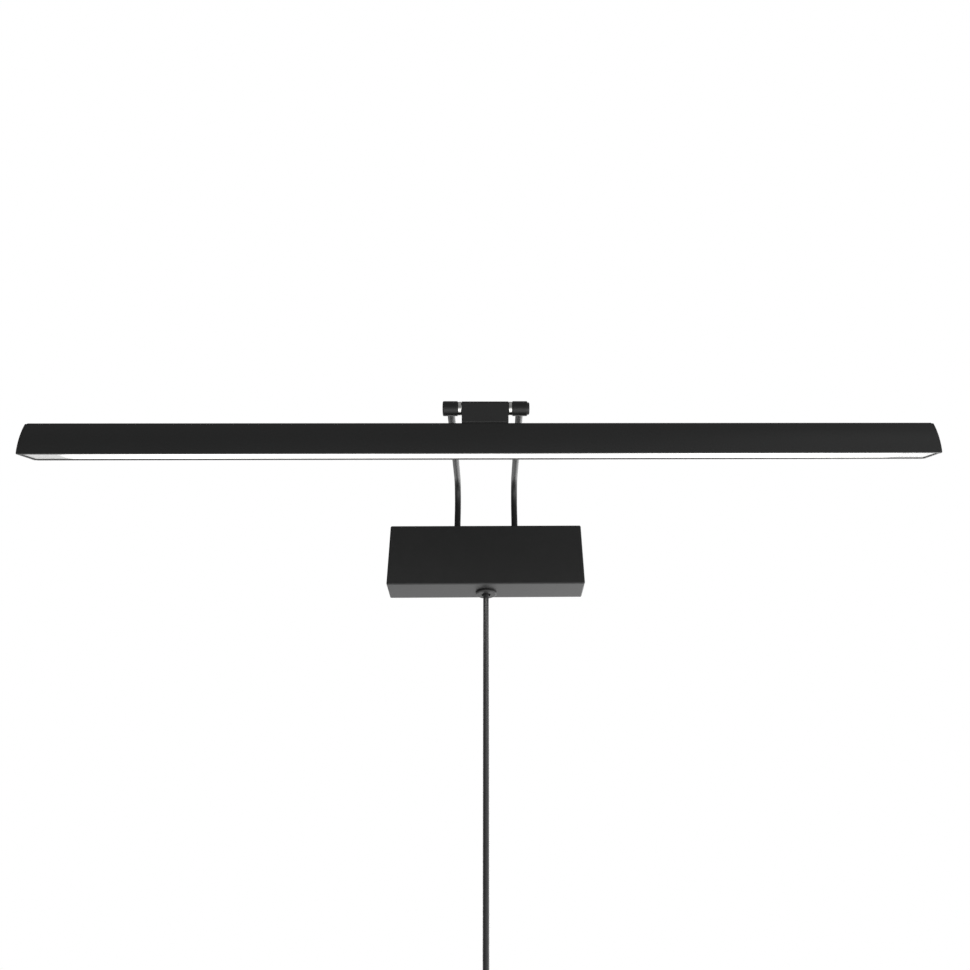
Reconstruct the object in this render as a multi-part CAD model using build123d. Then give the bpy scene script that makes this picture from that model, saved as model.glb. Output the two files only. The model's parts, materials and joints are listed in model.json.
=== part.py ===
from build123d import *
import math
import os

# Wall-mounted LED picture light: a slim bar, hinged at its middle on two bent arms
# that rise from a small wall box with the driver inside.
# X runs along the bar, Y points at the wall and Z up. The origin is on the wall, at the
# centre of the wall box. Sizes are in millimetres and degrees.

# Wall box
BOX_WIDTH = 150.0
BOX_DEPTH = 26.0
BOX_HEIGHT = 50.0
SHEET = 1.2
FOLD_RADIUS = 1.2
PLATE_SHEET = 1.5
PLATE_GAP = 0.3
PLATE_CORNER = 3.0
TAB_X = 60.0
TAB_WIDTH = 16.0
TAB_DEPTH = 14.0
TAB_HOLE_Y = -8.0
WALL_HOLE_SPACING = 100.0
WALL_HOLE_DIAMETER = 5.0

# LED driver, along X, Y and Z
DRIVER_X = (-70.0, -10.0)
DRIVER_Y = (-23.8, -8.8)
DRIVER_Z = (-16.0, 12.0)
DRIVER_WALL = 1.5
LID_THICKNESS = 1.5
LID_STEP = 1.0
TAPE_MARGIN = 4.0
DRIVER_BOARD_SHEET = 1.2

# Terminal block and cord clamp inside the box
TERMINAL_X = (24.0, 40.0)
TERMINAL_Y = (-20.0, -8.0)
TERMINAL_Z = (-3.0, 12.0)
POLE_Z = (1.0, 8.0)
POLE_SCREW_INSET = 4.0
WIRE_BORE = 2.4
CLAMP_HALF = 8.0
CLAMP_Z = (-15.0, -9.0)
CLAMP_SCREW_X = 5.5
CLAMP_GAP = 0.3
CLAMP_BRIDGE = 4.2
CORD_INNER_END = -5.0

# Leads
LEAD_DIAMETER = 1.2
LEAD_Y = -14.0
LEAD_BEHIND_Y = -4.5
LEAD_GATHER_X = -5.5
INPUT_ENTRIES = [(-15.5, -7.0), (-15.5, -3.0)]
OUTPUT_ENTRIES = [(-17.5, 6.0), (-14.5, 9.0)]
LEAD_IN_DRIVER = 3.0
LEAD_IN_TERMINAL = 7.0
BAR_LEAD_OFFSET = 0.8
BAR_LEAD_TOP = -4.0
BAR_LEAD_RUN = -18.0

# Arms
ARM_DIAMETER = 5.0
ARM_BORE = 3.4
ARM_SPACING = 46.0
ARM_Y = -13.5
ARM_FOOT_Z = 17.5
ARM_BEND_RADIUS = 20.0
ARM_FALL = 8.0
ARM_END_GAP = 3.4
COLLAR_DIAMETER = 9.0
COLLAR_HEIGHT = 4.0
ARM_NUT_FLATS = 8.0
ARM_NUT_HEIGHT = 3.5
WASHER_DIAMETER = 9.5
WASHER_HEIGHT = 0.8

# Hinge between the arms
HINGE_Y = -145.0
HINGE_Z = 49.0
REST_TILT = 22.0
KNUCKLE_DIAMETER = 10.0
KNUCKLE_LENGTH = 10.0
BLOCK_WIDTH = 31.0
BLOCK_DEPTH = 8.0
BLOCK_TOP = 4.2
BLOCK_ROUND = 1.4
BLOCK_BASE_ROUND = 0.5
FOOT_HEIGHT = 0.7
FOOT_INSET = 0.4
SPACER_DIAMETER = 9.2
SPACER_LENGTH = 2.6
SPACER_CHAMFER = 0.4
AXLE_DIAMETER = 5.0
AXLE_BORE = 3.0
AXLE_HEAD_DIAMETER = 8.3
AXLE_HEAD_HEIGHT = 1.3
AXLE_SOCKET = 3.0
THREAD_START = 2.2
RUNNING_GAP = 0.05
SIDE_GAP = 0.1
FIT_GAP = 0.04
LEAD_HOLE = 4.0

# Light bar: its section is measured from the hinge axis, across and up
BAR_LENGTH = 600.0
BAR_TOP = -10.9
BAR_BASE = -32.7
BAR_HALF_TOP = 4.3
BAR_HALF_BASE = 10.5
BAR_BULGE = 1.45
BAR_TOP_RADIUS = 0.8
BAR_BASE_RADIUS = 0.3
BAR_WALL = 1.2
PAD_THICKNESS = 2.0
CAP_THICKNESS = 2.0
CAP_INSET = 0.3
CAP_ROUND = 0.5
CAP_BASE_RADIUS = 0.8
SHELF_TOP = BAR_BASE + 7.2
SHELF_THICKNESS = 1.4
RAIL_INNER = 8.6
RAIL_TOP = BAR_BASE + 3.3
GROOVE_HEIGHT = 0.9
GROOVE_DEPTH = 0.6
DIFFUSER_RECESS = 0.6
DIFFUSER_THICKNESS = 1.9
DIFFUSER_SIDE_GAP = 0.15
PORT_X = 6.0
PORT_Z = BAR_BASE + 9.3
PORT_DIAMETER = 4.6
CAP_SCREW_DIAMETER = 2.2
BLOCK_SCREW_X = 9.0
BOARD_LENGTH = 544.0
BOARD_WIDTH = 12.0
BOARD_THICKNESS = 1.0
CHIP_COUNT = 42
CHIP_PITCH = 12.8
CHIP_LENGTH = 3.5
CHIP_WIDTH = 2.8
CHIP_HEIGHT = 0.7

# Screws: head diameter and height, shaft diameter and length
COVER_SCREW = (5.5, 1.8, 2.9, 5.0)
CLAMP_SCREW = (4.4, 1.6, 2.5, 10.0)
BLOCK_SCREW = (5.0, 1.6, 2.9, 7.5)
CAP_SCREW_LENGTH = 8.0

# Cord and gland
CORD_DIAMETER = 4.5
CORD_Y = -9.5
GLAND_FLANGE = 16.0
GLAND_FLANGE_HEIGHT = 2.0
GLAND_DOME = 1.2
GLAND_NECK = 12.0
GLAND_NECK_LENGTH = 7.2
GLAND_RECESS = 7.0
GLAND_RECESS_DEPTH = 1.5
GLAND_NUT_FLATS = 15.0
GLAND_NUT_HEIGHT = 3.5

# Coil, tie and plug
COIL_CENTRE_Z = -345.0
COIL_MIDDLE_RADIUS = 25.0
COIL_LAYERS = 3
TIE_GAP = 0.1
TIE_THICKNESS = 1.1
TIE_START = 50.0
TIE_SWEEP = 20.0
PLUG_X = -20.5
PLUG_TOP_Z = -384.0
PLUG_FACE = -50.0
PLUG_SHOULDER = -41.0
PLUG_NECK = -34.0
RELIEF_LENGTH = 16.0
RELIEF_TOP_RADIUS = 3.6
RELIEF_LOW_RADIUS = 5.0
RELIEF_CORE = 5.8
RELIEF_GROOVES = 5
RELIEF_GROOVE_WIDTH = 1.1
PLUG_HALF_WIDTH = 17.6
PLUG_NECK_HALF = 13.2
PLUG_THICKNESS = 13.7
PLUG_ROUND = 2.0
GRIP_RIBS = 4
GRIP_PITCH = 3.0
GRIP_LENGTH = 16.0
GRIP_DEPTH = 0.5
PIN_SPACING = 19.0
PIN_DIAMETER = 4.0
PIN_LENGTH = 19.0
PIN_ROOT = 6.0
PIN_ROOT_DIAMETER = 3.2

# Sizes that follow from those above
BOX_TOP = BOX_HEIGHT / 2
INNER_TOP = BOX_TOP - SHEET
INNER_FRONT = SHEET - BOX_DEPTH
CLAMP_MIDDLE_Z = sum(CLAMP_Z) / 2
BLOCK_HALF = BLOCK_WIDTH / 2
KNUCKLE_INNER = BLOCK_HALF + SIDE_GAP + SPACER_LENGTH
KNUCKLE_OUTER = KNUCKLE_INNER + KNUCKLE_LENGTH
PROFILE_LENGTH = BAR_LENGTH - 2 * CAP_THICKNESS
BOARD_TOP = SHELF_TOP - SHELF_THICKNESS
BOARD_LOW = BOARD_TOP - BOARD_THICKNESS
LEAD_DROP_X = -BOARD_LENGTH / 2 - 4
GLAND_BOTTOM = -BOX_TOP - GLAND_FLANGE_HEIGHT
CORD_EXIT_Z = GLAND_BOTTOM + GLAND_RECESS_DEPTH
COIL_WIDTH = COIL_LAYERS * CORD_DIAMETER
COIL_Y = CORD_Y - CORD_DIAMETER
PLUG_Y = CORD_Y - 14.8
PLUG_FACE_Z = PLUG_TOP_Z + PLUG_FACE
ARM_SLOPE = math.radians(ARM_FALL)
ARM_PLACES = (-ARM_SPACING / 2, ARM_SPACING / 2)
HEAD = Location((0, HINGE_Y, HINGE_Z), (REST_TILT, 0, 0))

# The free cord's route from the gland to the coil, and from the coil to the plug.
CORD_ROUTE = [
    (0, CORD_Y, CORD_EXIT_Z),
    (0, CORD_Y, -300.7),
    (-3.4, CORD_Y, -309.6),
    (-9.6, CORD_Y, -316.7),
    (-18.0, CORD_Y, -321.2),
]
TAIL_ROUTE = [
    (PLUG_X, CORD_Y - 8.0, -335.0),
    (PLUG_X, CORD_Y - 13.6, -349.0),
    (PLUG_X, PLUG_Y, -366.0),
    (PLUG_X, PLUG_Y, PLUG_TOP_Z),
]


# ---- Plain shapes ----

def block(x, y, z):
    """A box from its low and high place along each axis."""
    size = (x[1] - x[0], y[1] - y[0], z[1] - z[0])
    low_corner = (Align.MIN, Align.MIN, Align.MIN)
    return Pos(x[0], y[0], z[0]) * Box(*size, align=low_corner)


def grow(span, amount):
    """A span moved outwards at both ends, or inwards for a negative amount."""
    return (span[0] - amount, span[1] + amount)


def both_ways(half):
    """The span from minus a half size to plus it."""
    return (-half, half)


def rod(start, end, diameter):
    """A round bar from one point to another."""
    direction = Vector(*end) - Vector(*start)
    plane = Plane(origin=start, z_dir=direction)
    return Solid.make_cylinder(diameter / 2, direction.length, plane)


def ring(start, end, outer, inner):
    """A round bar with a hole along it."""
    return rod(start, end, outer) - rod(start, end, inner)


def hex_nut(centre, across_flats, height, bore):
    """A nut with its axis along Z, drawn downwards from its upper face's centre."""
    corner_radius = across_flats / math.sqrt(3)
    body = extrude(RegularPolygon(corner_radius, 6), -height)
    hole = extrude(Circle(bore / 2), -height)
    return Pos(*centre) * (body - hole)


def pan_screw(seat, direction, size):
    """A slotted screw from the seat of its head; the shaft runs along the direction."""
    head, head_height, shaft, length = size
    plane = Plane(origin=seat, z_dir=direction)
    top = Pos(0, 0, -head_height) * extrude(Circle(head / 2), head_height)
    rim = top.edges().group_by(Axis.Z)[0]
    top = fillet(rim, head_height * 0.4)
    slot_depth = head_height * 0.5
    slot = Pos(0, 0, slot_depth / 2 - head_height) * Box(head, shaft * 0.22, slot_depth)
    stem = extrude(Circle(shaft / 2), length)
    return plane * (top - slot + stem)


# ---- Tubes along a route ----

def run_lengths(points):
    """The length of each straight run of a route."""
    ends = zip(points, points[1:])
    return [(Vector(*b) - Vector(*a)).length for a, b in ends]


def cord_radii(points):
    """The largest gentle bend that each corner's two runs leave room for."""
    runs = run_lengths(points)
    radii = []
    for i in range(1, len(points) - 1):
        before = Vector(*points[i]) - Vector(*points[i - 1])
        after = Vector(*points[i + 1]) - Vector(*points[i])
        half_turn = math.radians(before.get_angle(after)) / 2
        radii.append(0.45 * min(runs[i - 1], runs[i]) / math.tan(half_turn))
    return radii


def tube(points, radii, diameter):
    """A round solid along straight runs joined by arcs, with its path's length."""
    path = FilletPolyline(*points, radius=radii)
    section = Plane(origin=path @ 0, z_dir=path % 0) * Circle(diameter / 2)
    return sweep(section, path=path), path.length


def cord_tube(name, points):
    """A length of the cord, with its bends and volume printed."""
    radii = cord_radii(points)
    shape, length = tube(points, radii, CORD_DIAMETER)
    section = math.pi * CORD_DIAMETER ** 2 / 4
    shown = ", ".join(f"{radius:.1f}" for radius in radii)
    ratio = shape.volume / (section * length)
    print(f"{name}: length {length:.1f}, radii {shown}, volume ratio {ratio:.4f}")
    return shape


def lead(points, radii):
    """One insulated lead."""
    return tube(points, radii, LEAD_DIAMETER)[0]


# ---- Wall box ----

def upright_hole(x, y, low, high, diameter):
    """A round cutter along Z."""
    return rod((x, y, low), (x, y, high), diameter)


def box_cover():
    """Folded sheet cover, open at the wall, with holes for arms, gland and screws."""
    outer = block(both_ways(BOX_WIDTH / 2), (-BOX_DEPTH, 0), both_ways(BOX_TOP))
    front_edges = outer.faces().sort_by(Axis.Y)[0].edges()
    outer = fillet(front_edges + outer.edges().filter_by(Axis.Y), FOLD_RADIUS)
    inner = block(both_ways(BOX_WIDTH / 2 - SHEET), (INNER_FRONT, 1), both_ways(INNER_TOP))
    cover = outer - inner
    for arm_x in ARM_PLACES:
        cover -= upright_hole(arm_x, ARM_Y, INNER_TOP - 1, BOX_TOP + 1, ARM_DIAMETER + 0.2)
    for screw_x in (-TAB_X, TAB_X):
        cover -= upright_hole(screw_x, TAB_HOLE_Y, INNER_TOP - 1, BOX_TOP + 1, COVER_SCREW[2] + 0.4)
    cover -= upright_hole(0, CORD_Y, -BOX_TOP - 1, 1 - INNER_TOP, GLAND_NECK + 0.2)
    return cover


def wall_plate():
    """Flat plate against the wall, with four folded tabs that hold the cover."""
    half_width = BOX_WIDTH / 2 - SHEET - PLATE_GAP
    half_height = INNER_TOP - PLATE_GAP
    plate = block(both_ways(half_width), (-PLATE_SHEET, 0), both_ways(half_height))
    plate = fillet(plate.edges().filter_by(Axis.Y), PLATE_CORNER)
    for tab_middle in (-TAB_X, TAB_X):
        tab_x = grow((tab_middle, tab_middle), TAB_WIDTH / 2)
        plate += block(tab_x, (-TAB_DEPTH, 0), (half_height - PLATE_SHEET, half_height))
        plate += block(tab_x, (-TAB_DEPTH, 0), (-half_height, PLATE_SHEET - half_height))
    for screw_x in (-TAB_X, TAB_X):
        plate -= upright_hole(screw_x, TAB_HOLE_Y, 0, BOX_TOP, COVER_SCREW[2] + 0.1)
    for hole_x in both_ways(WALL_HOLE_SPACING / 2):
        plate -= rod((hole_x, -PLATE_SHEET - 1, 0), (hole_x, 1, 0), WALL_HOLE_DIAMETER)
    return plate


def cover_screws():
    """Two screws through the top of the cover into the plate's tabs."""
    seats = [(x, TAB_HOLE_Y, BOX_TOP) for x in (-TAB_X, TAB_X)]
    return Compound([pan_screw(seat, (0, 0, -1), COVER_SCREW) for seat in seats])


# ---- Driver ----

def driver_case():
    """Plastic tray of the LED driver, open towards the wall, with four lead holes."""
    outer = block(DRIVER_X, (DRIVER_Y[0], DRIVER_Y[1] - LID_THICKNESS), DRIVER_Z)
    outer = fillet(outer.edges().filter_by(Axis.Y), DRIVER_WALL)
    inner_y = (DRIVER_Y[0] + DRIVER_WALL, 0)
    case = outer - block(grow(DRIVER_X, -DRIVER_WALL), inner_y, grow(DRIVER_Z, -DRIVER_WALL))
    for y, z in INPUT_ENTRIES + OUTPUT_ENTRIES:
        case -= rod((DRIVER_X[1] - 3, y, z), (DRIVER_X[1] + 1, y, z), LEAD_DIAMETER + 0.1)
    return case


def driver_lid():
    """Flat lid of the driver with a locating step inside the tray."""
    seat_y = DRIVER_Y[1] - LID_THICKNESS
    plate = block(DRIVER_X, (seat_y, DRIVER_Y[1]), DRIVER_Z)
    plate = fillet(plate.edges().filter_by(Axis.Y), DRIVER_WALL)
    step_inset = DRIVER_WALL + 0.1
    step = block(grow(DRIVER_X, -step_inset), (seat_y - LID_STEP, seat_y), grow(DRIVER_Z, -step_inset))
    return plate + step


def driver_tape():
    """Foam tape between the driver and the front of the cover."""
    return block(grow(DRIVER_X, -TAPE_MARGIN), (INNER_FRONT, DRIVER_Y[0]), grow(DRIVER_Z, -TAPE_MARGIN))


def driver_board():
    """Circuit board in the driver."""
    low = DRIVER_Y[0] + DRIVER_WALL
    board_x = grow(DRIVER_X, -DRIVER_WALL - 2.5)
    board_z = grow(DRIVER_Z, -DRIVER_WALL - 0.4)
    return block(board_x, (low, low + DRIVER_BOARD_SHEET), board_z)


def driver_components():
    """Transformer, capacitors, inductor and bridge on the driver's board."""
    floor = DRIVER_Y[0] + DRIVER_WALL + DRIVER_BOARD_SHEET
    ceiling = DRIVER_Y[1] - LID_THICKNESS - LID_STEP - 0.4
    core = block((-50, -36), (floor, ceiling), (-11, 5))
    winding = block((-47.5, -38.5), (floor, ceiling - 0.8), (-13, 7))
    main_capacitor = rod((-60, floor, -6), (-60, ceiling, -6), 8)
    output_capacitor = rod((-59, floor, 4.5), (-59, ceiling - 1, 4.5), 6.3)
    inductor = rod((-29, floor, -6), (-29, ceiling - 2, -6), 7)
    bridge = block((-33, -27), (floor, floor + 3), (2, 8))
    return Compound([core + winding, main_capacitor, output_capacitor, inductor, bridge])


# ---- Terminal block ----

def terminal_screw_places():
    """Place along X and Z of the screws: two for each pole."""
    columns = (TERMINAL_X[0] + POLE_SCREW_INSET, TERMINAL_X[1] - POLE_SCREW_INSET)
    return [(x, z) for z in POLE_Z for x in columns]


def terminal_block():
    """Two-pole terminal block with a wire bore and two screw bores at each pole."""
    body = block(TERMINAL_X, TERMINAL_Y, TERMINAL_Z)
    middle_z = sum(POLE_Z) / 2
    open_end = TERMINAL_Y[1] + 1
    body -= block(grow(TERMINAL_X, 1), (open_end - 3, open_end), grow((middle_z, middle_z), 0.7))
    for z in POLE_Z:
        body -= rod((TERMINAL_X[0] - 1, LEAD_Y, z), (TERMINAL_X[1] + 1, LEAD_Y, z), WIRE_BORE)
    for x, z in terminal_screw_places():
        body -= rod((x, LEAD_Y, z), (x, open_end, z), 3.2)
    return body


def terminal_screws():
    """Four grub screws that pinch the leads."""
    seat_y = LEAD_Y + LEAD_DIAMETER / 2 + 0.05
    tip_y = TERMINAL_Y[1] - 0.8
    screws = []
    for x, z in terminal_screw_places():
        slot = block(grow((x, x), 2), (tip_y - 0.8, tip_y + 1), grow((z, z), 0.3))
        screws.append(rod((x, seat_y, z), (x, tip_y, z), 3.0) - slot)
    return Compound(screws)


def terminal_base():
    """Pad that carries the terminal block on the front of the cover."""
    return block(grow(TERMINAL_X, -1), (INNER_FRONT, TERMINAL_Y[0]), grow(TERMINAL_Z, -1))


# ---- Cord clamp, inner cord and gland ----

def cord_cutter():
    """The cord's hole through the clamp and the gland."""
    return upright_hole(0, CORD_Y, CORD_EXIT_Z - 1, 0, CORD_DIAMETER + 0.1)


def clamp_base():
    """Lower half of the cord clamp, on the front of the cover."""
    base = block(both_ways(CLAMP_HALF), (INNER_FRONT, CORD_Y - CLAMP_GAP), CLAMP_Z)
    base -= cord_cutter()
    for x in both_ways(CLAMP_SCREW_X):
        base -= rod((x, CORD_Y - 7, CLAMP_MIDDLE_Z), (x, CORD_Y, CLAMP_MIDDLE_Z), CLAMP_SCREW[2] + 0.1)
    return base


def clamp_bridge():
    """Upper half of the cord clamp."""
    bridge = block(both_ways(CLAMP_HALF), (CORD_Y + CLAMP_GAP, CORD_Y + CLAMP_BRIDGE), CLAMP_Z)
    bridge = fillet(bridge.edges().filter_by(Axis.Z), 0.8)
    bridge -= cord_cutter()
    for x in both_ways(CLAMP_SCREW_X):
        bridge -= rod((x, CORD_Y, CLAMP_MIDDLE_Z), (x, 0, CLAMP_MIDDLE_Z), CLAMP_SCREW[2] + 0.2)
    return bridge


def clamp_screws():
    """Two screws that close the clamp."""
    seats = [(x, CORD_Y + CLAMP_BRIDGE, CLAMP_MIDDLE_Z) for x in both_ways(CLAMP_SCREW_X)]
    return Compound([pan_screw(seat, (0, -1, 0), CLAMP_SCREW) for seat in seats])


def cord_inner():
    """The cord's stretch through the gland and the clamp, up to its stripped end."""
    return rod((0, CORD_Y, CORD_EXIT_Z), (0, CORD_Y, CORD_INNER_END), CORD_DIAMETER)


def cord_gland():
    """Domed round bush under the box, with a recess around the cord."""
    flange = rod((0, CORD_Y, GLAND_BOTTOM), (0, CORD_Y, -BOX_TOP), GLAND_FLANGE)
    flange = fillet(flange.edges().group_by(Axis.Z)[0], GLAND_DOME)
    gland = flange + rod((0, CORD_Y, -BOX_TOP), (0, CORD_Y, GLAND_NECK_LENGTH - BOX_TOP), GLAND_NECK)
    gland -= upright_hole(0, CORD_Y, GLAND_BOTTOM - 1, CORD_EXIT_Z, GLAND_RECESS)
    return gland - cord_cutter()


def gland_nut():
    """Nut of the gland, inside the box."""
    top_centre = (0, CORD_Y, GLAND_NUT_HEIGHT - INNER_TOP)
    return hex_nut(top_centre, GLAND_NUT_FLATS, GLAND_NUT_HEIGHT, GLAND_NECK + 0.1)


# ---- Leads inside the box ----

def mains_leads():
    """The cord's two leads, from its stripped end to the terminal block."""
    leads = []
    for x, z in zip((1.1, -1.1), POLE_Z):
        points = [
            (x, CORD_Y, CORD_INNER_END),
            (x, CORD_Y, z),
            (TERMINAL_X[0] / 2, LEAD_Y, z),
            (TERMINAL_X[0] + LEAD_IN_TERMINAL, LEAD_Y, z),
        ]
        leads.append(lead(points, [3.0, 8.0]))
    return Compound(leads)


def driver_input_leads():
    """Two leads from the terminal block, behind the cord, to the driver."""
    leads = []
    for reach, pole_z, (entry_y, entry_z) in zip((4.0, 6.0), POLE_Z, INPUT_ENTRIES):
        points = [
            (TERMINAL_X[1] - LEAD_IN_TERMINAL, LEAD_Y, pole_z),
            (TERMINAL_X[1] + reach, LEAD_Y, pole_z),
            (TERMINAL_X[1] + reach, LEAD_BEHIND_Y, pole_z),
            (LEAD_GATHER_X, LEAD_BEHIND_Y, entry_z),
            (LEAD_GATHER_X, entry_y, entry_z),
            (DRIVER_X[1] - LEAD_IN_DRIVER, entry_y, entry_z),
        ]
        leads.append(lead(points, [2.0, 2.0, 2.5, 1.8]))
    return Compound(leads)


# ---- Arms ----

def arm_points(arm_x, foot_z, end_gap):
    """Foot, bend corner and upper end of an arm's centre line."""
    corner_z = HINGE_Z + (ARM_Y - HINGE_Y) * math.tan(ARM_SLOPE)
    end_y = HINGE_Y + end_gap * math.cos(ARM_SLOPE)
    end_z = HINGE_Z + end_gap * math.sin(ARM_SLOPE)
    return [(arm_x, ARM_Y, foot_z), (arm_x, ARM_Y, corner_z), (arm_x, end_y, end_z)]


def arm(arm_x):
    """Bent tube from the wall box to its knuckle."""
    points = arm_points(arm_x, ARM_FOOT_Z, ARM_END_GAP)
    outer = tube(points, [ARM_BEND_RADIUS], ARM_DIAMETER)[0]
    return outer - tube(points, [ARM_BEND_RADIUS], ARM_BORE)[0]


def arm_collars():
    """Shoulder rings brazed to the arms, standing on the box."""
    collars = []
    for x in ARM_PLACES:
        top = (x, ARM_Y, BOX_TOP + COLLAR_HEIGHT)
        collar = ring((x, ARM_Y, BOX_TOP), top, COLLAR_DIAMETER, ARM_DIAMETER + FIT_GAP)
        top_rim = collar.edges().group_by(Axis.Z)[-1].sort_by(SortBy.RADIUS)[-1]
        collars.append(fillet(top_rim, 0.6))
    return Compound(collars)


def arm_washers():
    """Washers under the nuts of the arms."""
    washers = []
    for x in ARM_PLACES:
        low = (x, ARM_Y, INNER_TOP - WASHER_HEIGHT)
        washers.append(ring(low, (x, ARM_Y, INNER_TOP), WASHER_DIAMETER, ARM_DIAMETER + 0.3))
    return Compound(washers)


def arm_nuts():
    """Nuts that pull the arms down on the box."""
    tops = [(x, ARM_Y, INNER_TOP - WASHER_HEIGHT) for x in ARM_PLACES]
    return Compound([hex_nut(top, ARM_NUT_FLATS, ARM_NUT_HEIGHT, ARM_DIAMETER + FIT_GAP) for top in tops])


def arm_leads():
    """The two lamp leads, from the driver through the arms to the knuckles."""
    low_z = ARM_FOOT_Z - 2.5
    leads = []
    for arm_x, turn_x, (entry_y, entry_z) in zip(ARM_PLACES, (-6.5, -4.5), reversed(OUTPUT_ENTRIES)):
        points = [
            (DRIVER_X[1] - LEAD_IN_DRIVER, entry_y, entry_z),
            (turn_x, entry_y, entry_z),
            (turn_x, ARM_Y, low_z),
        ]
        points += arm_points(arm_x, low_z, ARM_END_GAP + 0.4)
        leads.append(lead(points, [1.5, 1.5, 1.6, ARM_BEND_RADIUS]))
    return Compound(leads)


# ---- Hinge ----

def on_axis(x):
    """A point on the hinge's axis."""
    return (x, HINGE_Y, HINGE_Z)


def round_edge(shape, x_side, radius=None):
    """The round edge furthest to one side, or the one of a given radius there."""
    edges = shape.edges().filter_by(GeomType.CIRCLE)
    if radius is not None:
        edges = edges.filter_by(lambda edge: abs(edge.radius - radius) < 0.01)
    return edges.sort_by(Axis.X)[-1 if x_side > 0 else 0]


def knuckle(side):
    """Round end piece of an arm with the axle's bore and the arm's socket."""
    inner_x = side * KNUCKLE_INNER
    outer_x = side * KNUCKLE_OUTER
    body = rod(on_axis(inner_x), on_axis(outer_x), KNUCKLE_DIAMETER)
    body = fillet(round_edge(body, side), 0.8)
    body = chamfer(round_edge(body, -side), 0.3)
    body -= rod(on_axis(inner_x - side), on_axis(outer_x + side), AXLE_DIAMETER + FIT_GAP)
    arm_x = side * ARM_SPACING / 2
    socket_end = arm_points(arm_x, ARM_FOOT_Z, ARM_END_GAP)[-1]
    socket_mouth = arm_points(arm_x, ARM_FOOT_Z, ARM_END_GAP + 8)[-1]
    body -= rod(socket_end, socket_mouth, ARM_DIAMETER + FIT_GAP)
    body -= rod(on_axis(arm_x), socket_end, ARM_BORE - 0.6)
    return body


def spacer_rings():
    """Bright chamfered rings between the knuckles and the hinge block."""
    rings = []
    for side in (-1, 1):
        inner_x = side * (KNUCKLE_INNER - SPACER_LENGTH)
        spacer = rod(on_axis(inner_x), on_axis(side * KNUCKLE_INNER), SPACER_DIAMETER)
        spacer = chamfer(spacer.edges().filter_by(GeomType.CIRCLE), SPACER_CHAMFER)
        rings.append(spacer - rod(on_axis(inner_x), on_axis(side * KNUCKLE_INNER), AXLE_DIAMETER + FIT_GAP))
    return Compound(rings)


def hinge_axle():
    """Hollow axle screw with a low round head, and slots that let the leads through."""
    top = on_axis(KNUCKLE_OUTER + AXLE_HEAD_HEIGHT)
    head = rod(on_axis(KNUCKLE_OUTER), top, AXLE_HEAD_DIAMETER)
    head = fillet(round_edge(head, 1), 0.7)
    end_x = THREAD_START - KNUCKLE_OUTER
    axle = head + rod(on_axis(end_x), on_axis(KNUCKLE_OUTER), AXLE_DIAMETER)
    axle -= rod(on_axis(end_x - 1), on_axis(KNUCKLE_OUTER - 1.5), AXLE_BORE)
    axle -= extrude(Plane(origin=top, z_dir=(-1, 0, 0)) * RegularPolygon(AXLE_SOCKET / 2, 6), 1.6)
    axle -= block(both_ways(3), grow((HINGE_Y, HINGE_Y), 4), (HINGE_Z - 4, HINGE_Z - 0.6))
    for x in ARM_PLACES:
        axle -= block(grow((x, x), 1.5), (HINGE_Y + 0.5, HINGE_Y + 4), grow((HINGE_Z, HINGE_Z), 1.5))
    return axle


def hinge_block():
    """Block on the bar that turns on the axle, with a narrower foot."""
    half_depth = BLOCK_DEPTH / 2
    foot_top = BAR_TOP + FOOT_HEIGHT
    body = block(both_ways(BLOCK_HALF), both_ways(half_depth), (foot_top, BLOCK_TOP))
    body = fillet(body.edges().filter_by(Axis.X).group_by(Axis.Z)[-1], BLOCK_ROUND)
    body = fillet(body.edges().filter_by(Axis.X).group_by(Axis.Z)[0], BLOCK_BASE_ROUND)
    foot_x = both_ways(BLOCK_HALF - FOOT_INSET)
    body += block(foot_x, both_ways(half_depth - FOOT_INSET), (BAR_TOP, foot_top))
    body -= rod((-BLOCK_HALF - 1, 0, 0), (BLOCK_HALF + 1, 0, 0), AXLE_DIAMETER + 2 * RUNNING_GAP)
    body -= upright_hole(0, 0, BAR_TOP - 1, 0, LEAD_HOLE)
    for x in both_ways(BLOCK_SCREW_X):
        body -= upright_hole(x, 0, BAR_TOP - 1, BAR_TOP + 6, BLOCK_SCREW[2] + 0.1)
    return HEAD * body


def hinge_block_screws():
    """Two screws from inside the bar up into the block."""
    seats = [(x, 0, BAR_TOP - PAD_THICKNESS) for x in both_ways(BLOCK_SCREW_X)]
    return Compound([HEAD * pan_screw(seat, (0, 0, 1), BLOCK_SCREW) for seat in seats])


# ---- Light bar ----

def loaf_outline(inset, base_radius):
    """Section of the bar: flat base and top, bowed sides, rounded corners."""
    half_base = BAR_HALF_BASE - inset
    half_top = BAR_HALF_TOP - inset
    low = BAR_BASE
    high = BAR_TOP - inset
    chord = math.hypot(half_base - half_top, high - low)
    side_x = (half_base + half_top) / 2 + BAR_BULGE * (high - low) / chord
    side_z = (low + high) / 2 + BAR_BULGE * (half_base - half_top) / chord
    lines = [
        Line((-half_base, low), (half_base, low)),
        ThreePointArc((half_base, low), (side_x, side_z), (half_top, high)),
        Line((half_top, high), (-half_top, high)),
        ThreePointArc((-half_top, high), (-side_x, side_z), (-half_base, low)),
    ]
    face = make_face(Curve() + lines)
    face = fillet(face.vertices().group_by(Axis.Y)[-1], BAR_TOP_RADIUS)
    return fillet(face.vertices().group_by(Axis.Y)[0], base_radius)


def rectangle(x, z):
    """A flat rectangle from its low and high place along each axis."""
    corner = (Align.MIN, Align.MIN)
    return Pos(x[0], z[0]) * Rectangle(x[1] - x[0], z[1] - z[0], align=corner)


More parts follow.
